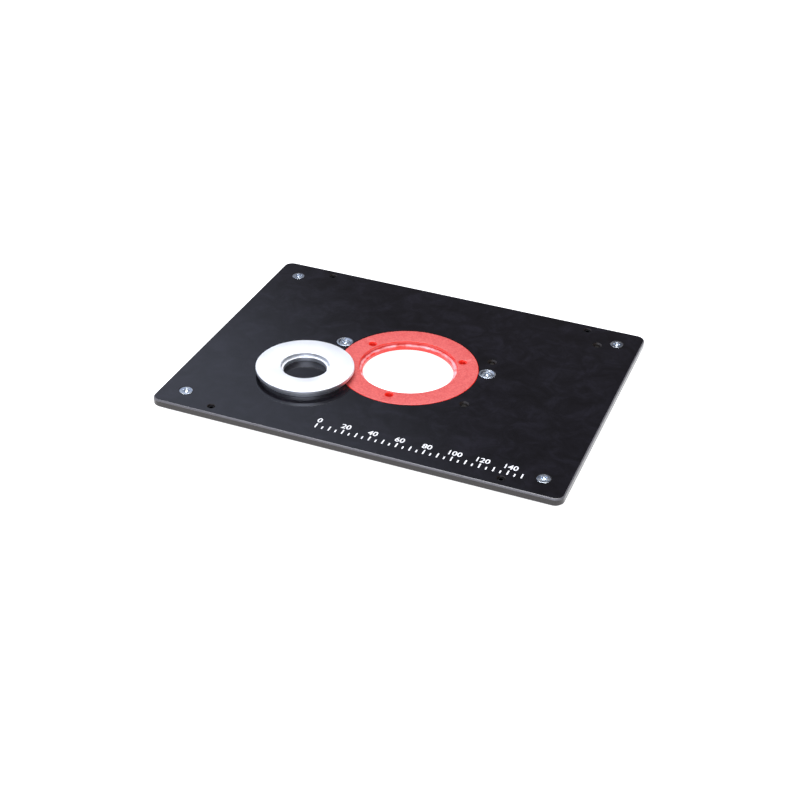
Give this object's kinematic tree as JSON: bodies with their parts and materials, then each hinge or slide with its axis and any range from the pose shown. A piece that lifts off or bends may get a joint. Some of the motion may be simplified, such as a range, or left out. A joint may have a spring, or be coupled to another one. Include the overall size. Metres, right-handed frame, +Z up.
{
  "type": "router table insert plate",
  "caption": "Flat black router table insert plate with a round opening, a flush red reducing ring, a loose aluminium reducing ring laid on it, and steel screws.",
  "frame": {"origin": "on the axis of the plate's opening, in the plane of the fixing screws' tips, which the loose plate stands on", "axes": "+X along the plate's length, +Y across it to the back edge, +Z up out of the working face"},
  "size_m": [0.305, 0.229, 0.0224],
  "materials": {
    "black_laminate": "polished phenolic laminate",
    "red_plastic": "moulded ABS, fine spark texture",
    "turned_aluminium": "fine turned",
    "zinc_plated_steel": "blue passivated zinc plate",
    "blackened_steel": "black oxide"
  },
  "bodies": {
    "plate": {"insert_plate": "black_laminate", "fixing_screw_front_left": "zinc_plated_steel", "fixing_screw_front_right": "zinc_plated_steel", "fixing_screw_back_left": "zinc_plated_steel", "fixing_screw_back_right": "zinc_plated_steel"},
    "large_ring": {"large_reducing_ring": "red_plastic"},
    "small_ring": {"small_reducing_ring": "turned_aluminium"},
    "clamp_left": {"clamp_washer_left": "zinc_plated_steel", "clamp_screw_left": "zinc_plated_steel"},
    "clamp_right": {"clamp_washer_right": "zinc_plated_steel", "clamp_screw_right": "zinc_plated_steel"},
    "level_front_left": {"level_screw_front_left": "blackened_steel"},
    "level_front_right": {"level_screw_front_right": "blackened_steel"},
    "level_back_left": {"level_screw_back_left": "blackened_steel"},
    "level_back_right": {"level_screw_back_right": "blackened_steel"}
  },
  "joints": [
    {"name": "large_ring_lift", "type": "slide", "parent": "plate", "child": "large_ring", "axis": [0, 0, 1], "range_m": [0, 0.04]},
    {"name": "small_ring_lift", "type": "slide", "parent": "large_ring", "child": "small_ring", "axis": [0, 0, 1], "range_m": [0, 0.04]},
    {"name": "clamp_left_travel", "type": "slide", "parent": "plate", "child": "clamp_left", "axis": [0, 0, 1], "range_m": [0, 0.006]},
    {"name": "clamp_right_travel", "type": "slide", "parent": "plate", "child": "clamp_right", "axis": [0, 0, 1], "range_m": [0, 0.006]},
    {"name": "level_front_left_travel", "type": "slide", "parent": "plate", "child": "level_front_left", "axis": [0, 0, -1], "range_m": [0, 0.0035]},
    {"name": "level_front_right_travel", "type": "slide", "parent": "plate", "child": "level_front_right", "axis": [0, 0, -1], "range_m": [0, 0.0035]},
    {"name": "level_back_left_travel", "type": "slide", "parent": "plate", "child": "level_back_left", "axis": [0, 0, -1], "range_m": [0, 0.0035]},
    {"name": "level_back_right_travel", "type": "slide", "parent": "plate", "child": "level_back_right", "axis": [0, 0, -1], "range_m": [0, 0.0035]}
  ]
}
